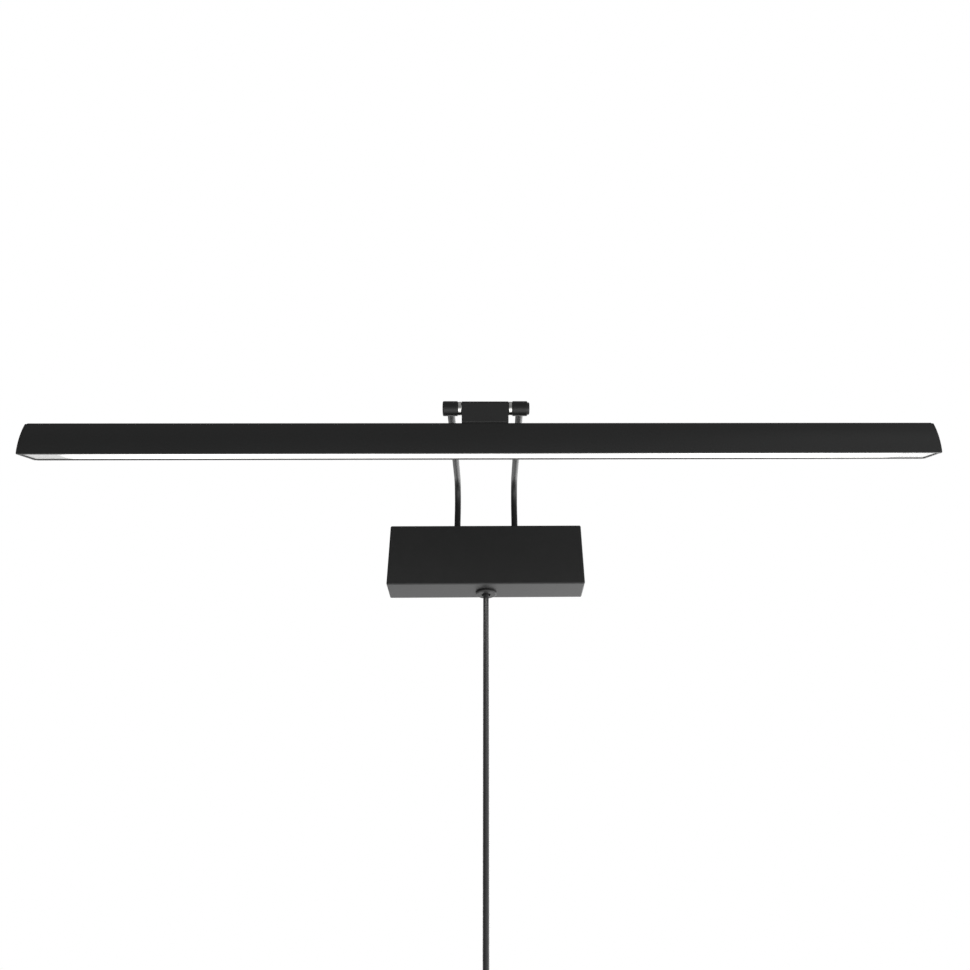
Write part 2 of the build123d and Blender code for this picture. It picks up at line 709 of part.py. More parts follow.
def along_bar(face, length):
    """A section drawn across the bar, drawn out along it about its middle."""
    return extrude(Plane.YZ.offset(-length / 2) * face, length)


def groove_span():
    """Low and high place of the diffuser's groove."""
    middle = BAR_BASE + DIFFUSER_RECESS + DIFFUSER_THICKNESS / 2
    return grow((middle, middle), GROOVE_HEIGHT / 2)


def bar_section():
    """Extrusion's section with its shelf, screw ports and diffuser rails."""
    outer = loaf_outline(0, BAR_BASE_RADIUS)
    wall = outer - offset(outer, -BAR_WALL, kind=Kind.INTERSECTION)
    across = both_ways(BAR_HALF_BASE + 2)
    filling = rectangle(across, (SHELF_TOP - SHELF_THICKNESS, SHELF_TOP))
    filling += rectangle(across, (BAR_TOP - PAD_THICKNESS, BAR_TOP))
    filling += rectangle((-BAR_HALF_BASE - 2, -RAIL_INNER), (BAR_BASE, RAIL_TOP))
    filling += rectangle((RAIL_INNER, BAR_HALF_BASE + 2), (BAR_BASE, RAIL_TOP))
    for x in both_ways(PORT_X):
        filling += Pos(x, PORT_Z) * Circle(PORT_DIAMETER / 2)
    section = wall + (filling & outer)
    section -= rectangle(both_ways(RAIL_INNER), (BAR_BASE - 1, RAIL_TOP - 1))
    section -= rectangle(both_ways(RAIL_INNER + GROOVE_DEPTH), groove_span())
    for x in both_ways(PORT_X):
        section -= Pos(x, PORT_Z) * Circle(CAP_SCREW_DIAMETER / 2 + 0.05)
    return section


def bar_profile():
    """Aluminium extrusion of the light bar, drilled for the hinge block and the leads."""
    bar = along_bar(bar_section(), PROFILE_LENGTH)
    pad_low = BAR_TOP - PAD_THICKNESS - 1
    for x in both_ways(BLOCK_SCREW_X):
        bar -= upright_hole(x, 0, pad_low, BAR_TOP + 1, BLOCK_SCREW[2] + 0.3)
    bar -= upright_hole(0, 0, pad_low, BAR_TOP + 1, LEAD_HOLE)
    bar -= upright_hole(LEAD_DROP_X, 0, SHELF_TOP - 2, SHELF_TOP + 1, LEAD_HOLE)
    return HEAD * bar


def end_cap(side):
    """Flat cap with rounded outer edge and two countersunk holes."""
    cap = extrude(Plane.YZ * loaf_outline(CAP_INSET, CAP_BASE_RADIUS), CAP_THICKNESS)
    rim = cap.faces().sort_by(Axis.X)[-1].edges()
    cap = fillet(rim, CAP_ROUND)
    for y in both_ways(PORT_X):
        cap -= rod((-1, y, PORT_Z), (CAP_THICKNESS + 1, y, PORT_Z), CAP_SCREW_DIAMETER + 0.2)
        sink_plane = Plane(origin=(CAP_THICKNESS - 1.1, y, PORT_Z), z_dir=(1, 0, 0))
        cap -= Solid.make_cone(1.2, 2.3, 1.1, sink_plane)
    if side < 0:
        cap = mirror(cap, Plane.YZ)
    return HEAD * Pos(side * PROFILE_LENGTH / 2, 0, 0) * cap


def countersunk_screw(seat, direction):
    """A small flat-headed screw with a cross slot, from the centre of its head's face."""
    plane = Plane(origin=seat, z_dir=direction)
    head = Solid.make_cone(2.1, 1.1, 1.0, plane)
    stem = Solid.make_cylinder(CAP_SCREW_DIAMETER / 2, CAP_SCREW_LENGTH, plane)
    cross = Box(3.0, 0.5, 0.5) + Box(0.5, 3.0, 0.5)
    return head + stem - plane * Pos(0, 0, 0.25) * cross


def end_cap_screws():
    """Two screws in each end cap."""
    screws = []
    for side in (-1, 1):
        for y in both_ways(PORT_X):
            seat = (side * (BAR_LENGTH / 2 - 0.05), y, PORT_Z)
            screws.append(HEAD * countersunk_screw(seat, (-side, 0, 0)))
    return Compound(screws)


def led_board():
    """Long narrow circuit board under the shelf."""
    return HEAD * block(both_ways(BOARD_LENGTH / 2), both_ways(BOARD_WIDTH / 2), (BOARD_LOW, BOARD_TOP))


def led_chips():
    """Row of LED packages under the board."""
    chips = []
    for i in range(CHIP_COUNT):
        x = (i - (CHIP_COUNT - 1) / 2) * CHIP_PITCH
        chip_x = grow((x, x), CHIP_LENGTH / 2)
        chips.append(HEAD * block(chip_x, both_ways(CHIP_WIDTH / 2), (BOARD_LOW - CHIP_HEIGHT, BOARD_LOW)))
    return Compound(chips)


def board_connector():
    """Small connector at the end of the LED board."""
    x = -BOARD_LENGTH / 2
    return HEAD * block((x, x + 5), both_ways(3), (BOARD_LOW - 1.6, BOARD_LOW))


def diffuser():
    """Opal strip with a tongue along each side."""
    low = BAR_BASE + DIFFUSER_RECESS
    half = RAIL_INNER - DIFFUSER_SIDE_GAP
    section = rectangle(both_ways(half), (low, low + DIFFUSER_THICKNESS))
    section += rectangle(both_ways(half + GROOVE_DEPTH), grow(groove_span(), -0.1))
    return HEAD * along_bar(section, PROFILE_LENGTH - 0.4)


def bar_leads():
    """The two leads inside the bar, from the hinge block to the LED board."""
    board_z = BOARD_LOW - 0.8
    leads = []
    for offset_y in both_ways(BAR_LEAD_OFFSET):
        points = [
            (offset_y, offset_y, BAR_LEAD_TOP),
            (offset_y, offset_y, BAR_LEAD_RUN),
            (LEAD_DROP_X, offset_y, BAR_LEAD_RUN),
            (LEAD_DROP_X, offset_y, board_z),
            (-BOARD_LENGTH / 2, offset_y, board_z),
        ]
        leads.append(HEAD * lead(points, [2.0, 2.0, 1.4]))
    return Compound(leads)


# ---- Coil, tie and plug ----

def coil_section(growth):
    """Rounded square around the bundle of turns, beside the coil's axis."""
    size = COIL_WIDTH + 2 * growth
    return Pos(COIL_MIDDLE_RADIUS, 0) * RectangleRounded(size, size, CORD_DIAMETER / 2 + growth)


def around_coil(section, start_angle, sweep_angle):
    """A section turned about the coil's axis, which runs along Y."""
    shape = revolve(Plane.XY * section, Axis.Y, sweep_angle)
    return Pos(0, COIL_Y, COIL_CENTRE_Z) * Rot(0, -start_angle, 0) * shape


def cord_coil():
    """Outer shape of the wound cord."""
    return around_coil(coil_section(0), 0, 360)


def coil_tie():
    """Band around the bundle of turns."""
    band = coil_section(TIE_GAP + TIE_THICKNESS) - coil_section(TIE_GAP)
    return around_coil(band, TIE_START, -TIE_SWEEP)


def plug_outline():
    """Front view of the plug: a neck that widens to the body."""
    relief_low = 1.0 - RELIEF_LENGTH
    half = [
        (RELIEF_LOW_RADIUS + 0.5, relief_low),
        (PLUG_NECK_HALF, PLUG_NECK),
        (PLUG_HALF_WIDTH, PLUG_SHOULDER),
        (PLUG_HALF_WIDTH, PLUG_FACE),
    ]
    other_half = [(-x, z) for x, z in reversed(half)]
    return make_face(Polyline(*half, *other_half, close=True))


def plug_relief():
    """Tapered cord entry with grooves that let it bend."""
    low = -RELIEF_LENGTH - 1
    plane = Plane(origin=(0, 0, low), z_dir=(0, 0, 1))
    relief = Solid.make_cone(RELIEF_LOW_RADIUS, RELIEF_TOP_RADIUS, -low, plane)
    pitch = 2 * RELIEF_GROOVE_WIDTH
    for i in range(RELIEF_GROOVES):
        groove_low = -2.2 - i * pitch
        groove = ((0, 0, groove_low), (0, 0, groove_low + RELIEF_GROOVE_WIDTH))
        relief -= ring(*groove, 2 * RELIEF_LOW_RADIUS + 1, RELIEF_CORE)
    return relief


def plug_body():
    """Flat two-pin plug with grip ribs and a tapered cord entry, its pins pointing down."""
    face = fillet(plug_outline().vertices(), PLUG_ROUND)
    body = extrude(Plane.XZ * face, PLUG_THICKNESS / 2, both=True)
    for flat in (0, -1):
        body = fillet(body.faces().sort_by(Axis.Y)[flat].edges(), PLUG_ROUND)
    for i in range(GRIP_RIBS):
        z = PLUG_NECK - i * GRIP_PITCH + 5
        for y in both_ways(PLUG_THICKNESS / 2):
            body -= rod((-GRIP_LENGTH / 2, y, z), (GRIP_LENGTH / 2, y, z), 2 * GRIP_DEPTH)
    body += plug_relief()
    for x in both_ways(PIN_SPACING / 2):
        body -= upright_hole(x, 0, PLUG_FACE - 1, PLUG_FACE + PIN_ROOT, PIN_ROOT_DIAMETER)
    return Pos(PLUG_X, PLUG_Y, PLUG_TOP_Z) * body


def plug_pins():
    """Two round pins, each with a thinner root set into the plug."""
    pins = []
    for side in (-1, 1):
        x = PLUG_X + side * PIN_SPACING / 2
        pin = upright_hole(x, PLUG_Y, PLUG_FACE_Z - PIN_LENGTH, PLUG_FACE_Z, PIN_DIAMETER)
        pin = fillet(pin.edges().group_by(Axis.Z)[0], 1.2)
        pins.append(pin + upright_hole(x, PLUG_Y, PLUG_FACE_Z, PLUG_FACE_Z + PIN_ROOT, PIN_ROOT_DIAMETER))
    return Compound(pins)


# ---- All the pieces ----

NODES = {
    "box_cover": box_cover,
    "wall_plate": wall_plate,
    "cover_screws": cover_screws,
    "driver_case": driver_case,
    "driver_lid": driver_lid,
    "driver_tape": driver_tape,
    "driver_board": driver_board,
    "driver_components": driver_components,
    "terminal_block": terminal_block,
    "terminal_screws": terminal_screws,
    "terminal_base": terminal_base,
    "clamp_base": clamp_base,
    "clamp_bridge": clamp_bridge,
    "clamp_screws": clamp_screws,
    "cord_inner": cord_inner,
    "mains_leads": mains_leads,
    "driver_input_leads": driver_input_leads,
    "cord_gland": cord_gland,
    "gland_nut": gland_nut,
    "arm_left": lambda: arm(ARM_PLACES[0]),
    "arm_right": lambda: arm(ARM_PLACES[1]),
    "arm_collars": arm_collars,
    "arm_washers": arm_washers,
    "arm_nuts": arm_nuts,
    "arm_leads": arm_leads,
    "knuckle_left": lambda: knuckle(-1),
    "knuckle_right": lambda: knuckle(1),
    "spacer_rings": spacer_rings,
    "hinge_axle": hinge_axle,
    "hinge_block": hinge_block,
    "hinge_block_screws": hinge_block_screws,
    "bar_profile": bar_profile,
    "end_cap_left": lambda: end_cap(-1),
    "end_cap_right": lambda: end_cap(1),
    "end_cap_screws": end_cap_screws,
    "led_board": led_board,
    "led_chips": led_chips,
    "board_connector": board_connector,
    "diffuser": diffuser,
    "bar_leads": bar_leads,
    "cord_run": lambda: cord_tube("cord_run", CORD_ROUTE),
    "cord_coil": cord_coil,
    "coil_tie": coil_tie,
    "cord_tail": lambda: cord_tube("cord_tail", TAIL_ROUTE),
    "plug_body": plug_body,
    "plug_pins": plug_pins,
}

os.makedirs("parts", exist_ok=True)
for name, make in NODES.items():
    export_step(make(), f"parts/{name}.step")
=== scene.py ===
import json
import math

import bmesh
import bpy
from mathutils import Matrix, Vector


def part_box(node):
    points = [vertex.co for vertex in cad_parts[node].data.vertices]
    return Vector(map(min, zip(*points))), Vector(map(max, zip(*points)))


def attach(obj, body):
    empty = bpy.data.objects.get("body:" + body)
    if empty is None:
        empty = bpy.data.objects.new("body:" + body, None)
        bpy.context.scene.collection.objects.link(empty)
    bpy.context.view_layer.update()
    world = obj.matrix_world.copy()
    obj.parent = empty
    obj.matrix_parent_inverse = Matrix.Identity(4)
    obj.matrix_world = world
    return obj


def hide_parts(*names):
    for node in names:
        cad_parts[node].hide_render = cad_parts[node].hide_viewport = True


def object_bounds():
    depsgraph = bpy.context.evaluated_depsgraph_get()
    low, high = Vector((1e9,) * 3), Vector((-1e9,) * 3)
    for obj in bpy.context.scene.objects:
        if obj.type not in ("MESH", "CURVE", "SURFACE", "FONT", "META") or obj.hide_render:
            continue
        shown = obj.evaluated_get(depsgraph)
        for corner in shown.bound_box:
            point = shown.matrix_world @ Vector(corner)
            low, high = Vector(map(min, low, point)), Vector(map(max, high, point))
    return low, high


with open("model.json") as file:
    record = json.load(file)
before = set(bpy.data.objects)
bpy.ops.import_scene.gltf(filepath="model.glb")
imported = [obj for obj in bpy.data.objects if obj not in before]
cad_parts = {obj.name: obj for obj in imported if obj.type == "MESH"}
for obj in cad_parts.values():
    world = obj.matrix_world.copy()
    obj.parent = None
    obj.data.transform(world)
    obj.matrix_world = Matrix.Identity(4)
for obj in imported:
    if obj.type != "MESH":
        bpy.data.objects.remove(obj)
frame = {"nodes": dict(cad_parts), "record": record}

CAD_LOW, CAD_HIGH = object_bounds()
WALL = "wall_bracket"
SCENE = bpy.context.scene

# ---- Camera: close below the light, looking up ----

CAMERA_PLACE = (0.00227, -0.53651, -0.25185)
CAMERA_PITCH = 0.55152
CAMERA_YAW = 0.02488
CAMERA_ROLL = -0.01557
CAMERA_LENS = 27.271
CAMERA_SHIFT_X = -0.0199


def make_camera():
    data = bpy.data.cameras.new("camera")
    data.lens = CAMERA_LENS
    data.sensor_width = 36.0
    data.shift_x = CAMERA_SHIFT_X
    data.clip_start = 0.01
    camera = bpy.data.objects.new("camera", data)
    turn = Matrix.Rotation(-CAMERA_YAW, 4, "Z")
    lift = Matrix.Rotation(math.pi / 2 + CAMERA_PITCH, 4, "X")
    roll = Matrix.Rotation(CAMERA_ROLL, 4, "Z")
    camera.matrix_world = Matrix.Translation(CAMERA_PLACE) @ turn @ lift @ roll
    SCENE.collection.objects.link(camera)
    SCENE.camera = camera


# ---- Material helpers ----

MAP_RANGE_SOCKETS = ("From Min", "From Max", "To Min", "To Max")
FLAT_DOT = 0.99
EDGE_DOT = 0.85


class Material:
    """A principled material with short calls for its nodes."""

    def __init__(self, name, colour, roughness, **values):
        self.data = bpy.data.materials.new(name)
        self.data.use_nodes = True
        self.nodes = self.data.node_tree.nodes
        self.links = self.data.node_tree.links
        self.shader = self.nodes["Principled BSDF"]
        self.place = self.nodes.new("ShaderNodeTexCoord").outputs["Object"]
        self.shader.inputs["Base Color"].default_value = (*colour, 1)
        self.shader.inputs["Roughness"].default_value = roughness
        for key, value in values.items():
            self.shader.inputs[key.replace("_", " ")].default_value = value

    def link(self, output, target):
        self.links.new(output, target)

    def stretched(self, scale):
        """The object's coordinates, stretched by a scale along each axis."""
        node = self.nodes.new("ShaderNodeMapping")
        node.inputs["Scale"].default_value = scale
        self.link(self.place, node.inputs["Vector"])
        return node.outputs["Vector"]

    def noise(self, scale, detail=2.0, roughness=0.5, vector=None):
        node = self.nodes.new("ShaderNodeTexNoise")
        node.inputs["Scale"].default_value = scale
        node.inputs["Detail"].default_value = detail
        node.inputs["Roughness"].default_value = roughness
        self.link(vector or self.place, node.inputs["Vector"])
        return node.outputs["Fac"]

    def cells(self, scale):
        node = self.nodes.new("ShaderNodeTexVoronoi")
        node.inputs["Scale"].default_value = scale
        self.link(self.place, node.inputs["Vector"])
        return node.outputs["Distance"]

    def spread(self, value, low, high, to_low, to_high):
        """A value mapped from one range to another, and kept inside it."""
        node = self.nodes.new("ShaderNodeMapRange")
        for key, number in zip(MAP_RANGE_SOCKETS, (low, high, to_low, to_high)):
            node.inputs[key].default_value = number
        self.link(value, node.inputs["Value"])
        return node.outputs["Result"]

    def math(self, operation, first, second):
        node = self.nodes.new("ShaderNodeMath")
        node.operation = operation
        for socket, value in zip(node.inputs, (first, second)):
            if isinstance(value, (int, float)):
                socket.default_value = value
            else:
                self.link(value, socket)
        return node.outputs["Value"]

    def blend(self, factor, first, second):
        """Two colours mixed by a factor."""
        node = self.nodes.new("ShaderNodeMix")
        node.data_type = "RGBA"
        self.link(factor, node.inputs["Factor"])
        for socket, colour in zip((node.inputs[6], node.inputs[7]), (first, second)):
            if isinstance(colour, tuple):
                socket.default_value = (*colour, 1)
            else:
                self.link(colour, socket)
        return node.outputs[2]

    def colour(self, output):
        self.link(output, self.shader.inputs["Base Color"])

    def rough(self, output):
        self.link(output, self.shader.inputs["Roughness"])

    def bump(self, *layers, round_edges=0.0):
        """Height layers, each an output with its depth in metres, over slightly rounded edges."""
        normal = self.rounded(round_edges).outputs["Normal"] if round_edges else None
        for height, depth in layers:
            node = self.nodes.new("ShaderNodeBump")
            node.inputs["Strength"].default_value = 1.0
            node.inputs["Distance"].default_value = depth
            self.link(height, node.inputs["Height"])
            if normal is not None:
                self.link(normal, node.inputs["Normal"])
            normal = node.outputs["Normal"]
        self.link(normal, self.shader.inputs["Normal"])

    def rounded(self, radius):
        """A node whose normal turns smoothly over the edges."""
        bevel = self.nodes.new("ShaderNodeBevel")
        bevel.samples = 4
        bevel.inputs["Radius"].default_value = radius
        return bevel

    def edges(self, radius):
        """High on edges, nothing on flat faces."""
        bevel = self.rounded(radius)
        plain = self.nodes.new("ShaderNodeNewGeometry")
        dot = self.nodes.new("ShaderNodeVectorMath")
        dot.operation = "DOT_PRODUCT"
        self.link(bevel.outputs["Normal"], dot.inputs[0])
        self.link(plain.outputs["Normal"], dot.inputs[1])
        return self.spread(dot.outputs["Value"], FLAT_DOT, EDGE_DOT, 0.0, 1.0)


def shades(colour, share):
    """A darker and a lighter version of a colour."""
    return tuple(c * (1 - share) for c in colour), tuple(c * (1 + share) for c in colour)


# Colour of the painted highlight along the coat's edges, where they would catch the light.
EDGE_HIGHLIGHT_COLOUR = (0.03, 0.03, 0.029)
COAT_EDGE = 0.0004


def powder_coat(name, colour, roughness, specular=0.46):
    """Satin black coat: a fine orange peel with a finer grain in it, and a painted highlight that
    lightens the edges.
    """
    m = Material(name, colour, roughness, Specular_IOR_Level=specular)
    cloud = m.noise(35.0, 3.0)
    coat = m.blend(cloud, *shades(colour, 0.12))
    # Painted highlight: the edges are lightened in patches, standing in for light caught by the edges.
    edge_highlight = m.math("MULTIPLY", m.edges(COAT_EDGE), m.spread(m.noise(160.0, 3.0), 0.4, 0.65, 0.1, 0.9))
    m.colour(m.blend(edge_highlight, coat, EDGE_HIGHLIGHT_COLOUR))
    grain = m.noise(2400.0, 2.0)
    m.rough(m.spread(grain, 0.3, 0.7, roughness - 0.03, roughness + 0.03))
    m.bump((m.noise(700.0, 2.0), 0.00004), (grain, 0.00002), round_edges=COAT_EDGE)
    return m.data


def moulded_plastic(name, colour, roughness, grain_scale=1800.0, depth=0.00002):
    """Moulded plastic with a fine spark-eroded grain."""
    m = Material(name, colour, roughness, Specular_IOR_Level=0.45)
    m.colour(m.blend(m.noise(60.0, 2.0), *shades(colour, 0.08)))
    m.rough(m.spread(m.noise(300.0, 3.0), 0.3, 0.7, roughness - 0.05, roughness + 0.05))
    m.bump((m.cells(grain_scale), depth), (m.noise(grain_scale * 2, 1.0), depth / 2))
    return m.data


def machined_metal(name, colour, roughness, scratch=(60.0, 1800.0, 1800.0)):
    """Bare or plated metal with fine marks along X."""
    m = Material(name, colour, roughness, Metallic=1.0)
    marks = m.noise(1.0, 3.0, vector=m.stretched(scratch))
    m.colour(m.blend(m.noise(150.0, 2.0), *shades(colour, 0.05)))
    m.rough(m.spread(marks, 0.3, 0.7, roughness * 0.75, roughness * 1.25))
    m.bump((marks, 0.000004))
    return m.data


def galvanised_steel(name, colour, roughness):
    """Zinc-plated sheet: small spangles that differ in brightness and gloss, with fine marks."""
    m = Material(name, colour, roughness, Metallic=1.0)
    spangle = m.cells(190.0)
    cloud = m.spread(m.noise(40.0, 3.0), 0.3, 0.7, -0.1, 0.7)
    m.colour(m.blend(m.math("ADD", m.math("MULTIPLY", spangle, 0.4), cloud), *shades(colour, 0.2)))
    m.rough(m.spread(spangle, 0.1, 0.7, roughness - 0.08, roughness + 0.1))
    m.bump((spangle, 0.000008), (m.noise(1500.0, 2.0), 0.000004))
    return m.data


def soft_pvc(name, colour, roughness):
    """Extruded soft PVC with slow waviness and faint handling marks."""
    coat = {"Coat_Weight": 0.85, "Coat_IOR": 1.7, "Coat_Roughness": 0.2}
    m = Material(name, colour, roughness, Specular_IOR_Level=0.7, **coat)
    m.colour(m.blend(m.noise(45.0, 2.0), *shades(colour, 0.15)))
    smear = m.noise(220.0, 4.0, 0.6)
    m.rough(m.spread(smear, 0.3, 0.7, roughness - 0.05, roughness + 0.07))
    m.bump((m.noise(190.0, 1.0), 0.00012), (m.noise(2200.0, 1.0), 0.000006))
    return m.data


def insulation(name, first, second):
    """Thin coloured lead insulation; the two leads of a pair differ in colour by their place."""
    m = Material(name, first, 0.35)
    m.colour(m.blend(m.spread(m.noise(9.0, 0.0), 0.49, 0.51, 0.0, 1.0), first, second))
    m.bump((m.noise(900.0, 1.0), 0.00001))
    return m.data


def loop_fabric(name, colour):
    """The fuzzy loop side of a hook-and-loop strap, with its fine cross weave."""
    m = Material(name, colour, 0.9, Sheen_Weight=0.35, Sheen_Roughness=0.4)
    loops = m.cells(1500.0)
    m.colour(m.blend(loops, *shades(colour, 0.5)))
    m.bump((m.noise(500.0, 2.0), 0.0001), (loops, 0.00015))
    return m.data


def circuit_board(name, mask, copper):
    """Solder mask with faint tracks under it."""
    m = Material(name, mask, 0.35)
    tracks = m.nodes.new("ShaderNodeTexBrick")
    tracks.inputs["Scale"].default_value = 260.0
    tracks.inputs["Mortar Size"].default_value = 0.012
    m.link(m.place, tracks.inputs["Vector"])
    m.colour(m.blend(tracks.outputs["Fac"], mask, copper))
    m.bump((tracks.outputs["Fac"], 0.00003))
    return m.data


def foam(name, colour):
    """Closed-cell foam tape."""
    m = Material(name, colour, 0.95)
    m.colour(m.blend(m.cells(2500.0), *shades(colour, 0.3)))
    m.bump((m.cells(2500.0), 0.0001))
    return m.data


LIT_END = 0.273
LIT_FADE = 0.004
FRONT_FADE = 0.007
REAR_FADE = 0.003
LIGHT_COLOUR = (1.0, 0.98, 0.95)
LIGHT_STRENGTH = 1.3
EDGE_STRENGTH = 0.1


def opal_diffuser(name):
    """Satin opal strip that glows over the LEDs, less along its sides and not near its ends."""
    colour = (0.36, 0.36, 0.355)
    m = Material(name, colour, 0.38)
    m.colour(m.blend(m.noise(30.0, 2.0), *shades(colour, 0.02)))
    m.bump((m.noise(1500.0, 2.0), 0.000015))
    split = m.nodes.new("ShaderNodeSeparateXYZ")
    m.link(m.place, split.inputs["Vector"])
    along = m.math("ABSOLUTE", split.outputs["X"], 0.0)
    lit = m.spread(along, LIT_END - LIT_FADE, LIT_END + LIT_FADE, 1.0, 0.0)
    low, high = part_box("diffuser")
    front = m.spread(split.outputs["Y"], low.y, low.y + FRONT_FADE, EDGE_STRENGTH, LIGHT_STRENGTH)
    rear = m.spread(split.outputs["Y"], high.y - REAR_FADE, high.y, LIGHT_STRENGTH, EDGE_STRENGTH)
    strength = m.math("MINIMUM", front, rear)
    m.shader.inputs["Emission Color"].default_value = (*LIGHT_COLOUR, 1)
    m.link(m.math("MULTIPLY", lit, strength), m.shader.inputs["Emission Strength"])
    return m.data


BLACK_COAT = (0.0105, 0.0108, 0.0108)

MATERIALS = {
    "black_powder_coat": powder_coat("black_powder_coat", BLACK_COAT, 0.46),
    "black_enamel": powder_coat("black_enamel", BLACK_COAT, 0.42, 0.36),
    "black_steel": machined_metal("black_steel", (0.05, 0.05, 0.052), 0.4),
    "zinc_steel": galvanised_steel("zinc_steel", (0.32, 0.325, 0.335), 0.42),
    "chrome_steel": machined_metal("chrome_steel", (0.72, 0.72, 0.7), 0.16),
    "nickel_brass": machined_metal("nickel_brass", (0.72, 0.69, 0.62), 0.22, (1800.0, 1800.0, 60.0)),
    "white_plastic": moulded_plastic("white_plastic", (0.78, 0.78, 0.75), 0.45),
    "black_plastic": moulded_plastic("black_plastic", (0.011, 0.011, 0.011), 0.5),
    "grey_foam": foam("grey_foam", (0.2, 0.2, 0.21)),
    "circuit_board": circuit_board("circuit_board", (0.02, 0.12, 0.05), (0.05, 0.2, 0.08)),
    "dark_components": moulded_plastic("dark_components", (0.03, 0.03, 0.035), 0.4),
    "white_board": circuit_board("white_board", (0.8, 0.81, 0.8), (0.7, 0.71, 0.7)),
    "led_phosphor": moulded_plastic("led_phosphor", (0.85, 0.62, 0.12), 0.3),
    "opal_acrylic": opal_diffuser("opal_acrylic"),
    "black_pvc": soft_pvc("black_pvc", (0.03, 0.03, 0.031), 0.24),
    "strap_fabric": loop_fabric("strap_fabric", (0.018, 0.018, 0.019)),
    "brown_insulation": insulation("brown_insulation", (0.16, 0.06, 0.02), (0.02, 0.08, 0.4)),
    "red_insulation": insulation("red_insulation", (0.45, 0.02, 0.015), (0.01, 0.01, 0.01)),
}


SMOOTH_ANGLE = math.radians(28)


def finish_cad_nodes():
    """Gives every CAD node its material and smooth shading across shallow angles."""
    for row in frame["record"]["subparts"]:
        node = frame["nodes"][row["node"]]
        material = MATERIALS[row["material_slot"]]
        node.data.materials.clear()
        node.data.materials.append(material)
        node.data.shade_smooth()
        node.data.set_sharp_from_angle(angle=SMOOTH_ANGLE)


# ---- Cord ----

MM = 0.001
CORD_DIAMETER = 0.0045
CORD_Y = -0.0095
COIL_CENTRE_Z = -0.345
COIL_MIDDLE_RADIUS = 0.025
TURN_POINTS = 16
COIL_START = math.radians(127.1)
TRACK_CHANGE = (0.2, 0.8)
LAST_TRACK_CHANGE = (0.84, 1.16)
SIDE_BULGE = 1.6 * CORD_DIAMETER
CORD_START = [
    (0, -9.5, -25.5),
    (0, -9.5, -291.2),
    (0, -9.5, -300.7),
    (-3.4, -9.5, -309.6),
    (-9.6, -9.5, -316.7),
]
CORD_END = [
    (-20.5, -24.1, -349.0),
    (-20.5, -24.3, -366.0),
    (-20.5, -24.3, -384.0),
]


def coil_tracks():
    """Radius and Y of each turn: three layers from the outside in, wound to and fro."""
    rows = [CORD_Y - i * CORD_DIAMETER for i in range(3)]
    tracks = []
    for layer in range(3):
        radius = COIL_MIDDLE_RADIUS + (1 - layer) * CORD_DIAMETER
        ordered = rows if layer % 2 == 0 else rows[::-1]
        tracks += [(radius, y) for y in ordered]
    return tracks + [(tracks[-1][0], rows[-1] - CORD_DIAMETER)]


def ease(value, low, high):
    """A smooth step from 0 at low to 1 at high."""
    share = min(1.0, max(0.0, (value - low) / (high - low)))
    return share * share * (3 - 2 * share)


def coil_points():
    """Control points of the coil's turns. A turn passes to the next track along its bottom,
    and bulges out sideways where it passes down to the next layer."""
    tracks = coil_tracks()
    last = len(tracks) - 2
    outwards = 1 / (0.75 + 0.25 * math.cos(2 * math.pi / TURN_POINTS))
    points = []
    for i in range((last + 1) * TURN_POINTS + 3):
        turn = min(i // TURN_POINTS, last)
        low, high = TRACK_CHANGE if turn < last else LAST_TRACK_CHANGE
        share = ease(i / TURN_POINTS - turn, low, high)
        radius, y = (a + (b - a) * share for a, b in zip(tracks[turn], tracks[turn + 1]))
        if tracks[turn][0] != tracks[turn + 1][0]:
            side = 1 if y > CORD_Y - CORD_DIAMETER else -1
            y += side * SIDE_BULGE * share * (1 - share)
        angle = COIL_START + 2 * math.pi * i / TURN_POINTS
        x = outwards * radius * math.cos(angle)
        z = COIL_CENTRE_Z + outwards * radius * math.sin(angle)
        points.append((x, y, z))
    return points


def make_cord(strap):
    """The whole cord, from the gland through the coil to the plug."""
    start = [tuple(v * MM for v in point) for point in CORD_START]
    end = [tuple(v * MM for v in point) for point in CORD_END]
    points = start + coil_points() + end
    curve = bpy.data.curves.new("mains_cord", "CURVE")
    curve.dimensions = "3D"
    curve.bevel_depth = CORD_DIAMETER / 2
    curve.bevel_resolution = 6
    curve.resolution_u = 6
    curve.use_fill_caps = True
    spline = curve.splines.new("NURBS")
    spline.points.add(len(points) - 1)
    for target, point in zip(spline.points, points):
        target.co = (*point, 1)
    spline.order_u = 3
    spline.use_endpoint_u = True
    cord = bpy.data.objects.new("mains_cord", curve)
    SCENE.collection.objects.link(cord)
    curve.materials.append(MATERIALS["black_pvc"])
    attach(cord, WALL)
    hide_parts("cord_run", "cord_coil", "cord_tail")


# ---- Strap round the coil ----

STRAP_SWEEP = 20.0
STRAP_THICKNESS = 0.0009
STRAP_WIDTH_STEPS = 6
STRAP_CORNER_STEPS = 8
STRAP_OVERLAP = 0.007
STRAP_LIFT = 0.001
STRAP_CLEARANCE = 0.0007
STRAP_LIFT_BEFORE = 0.003
STRAP_LIFT_AFTER = 0.002


